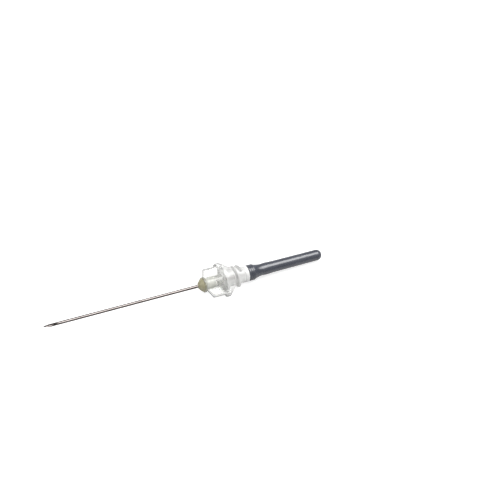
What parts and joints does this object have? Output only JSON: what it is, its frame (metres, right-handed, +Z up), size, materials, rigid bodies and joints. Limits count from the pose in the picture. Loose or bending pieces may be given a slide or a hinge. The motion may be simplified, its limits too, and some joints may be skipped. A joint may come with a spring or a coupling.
{
  "type": "blood collection needle",
  "caption": "Double-ended blood collection needle: a bevelled steel cannula in a clear finned and threaded hub, with a closed rubber sleeve over its tube-side cannula.",
  "frame": {"origin": "middle of the needle's footprint, on the surface that it lies on", "axes": "+X along the needle, from the patient point to the sleeve's closed end, level with the surface; +Y along the fins; +Z up"},
  "size_m": [0.0692, 0.0088, 0.0065],
  "materials": {
    "steel": "polished",
    "clear_plastic": "gloss",
    "olive_adhesive": "gloss",
    "pale_adhesive": "gloss",
    "grey_rubber": "satin"
  },
  "bodies": {
    "needle": {"patient_cannula": "steel", "tube_cannula": "steel", "hub": "clear_plastic", "front_adhesive": "olive_adhesive", "rear_adhesive": "pale_adhesive"},
    "sleeve": {"rubber_sleeve": "grey_rubber"}
  },
  "joints": [
    {"name": "sleeve_compression", "type": "slide", "parent": "needle", "child": "sleeve", "axis": [-0.9972, 0, 0.0746], "range_m": [0, 0.012], "stiffness_N_per_m": 250, "deforming": ["rubber_sleeve"]}
  ]
}
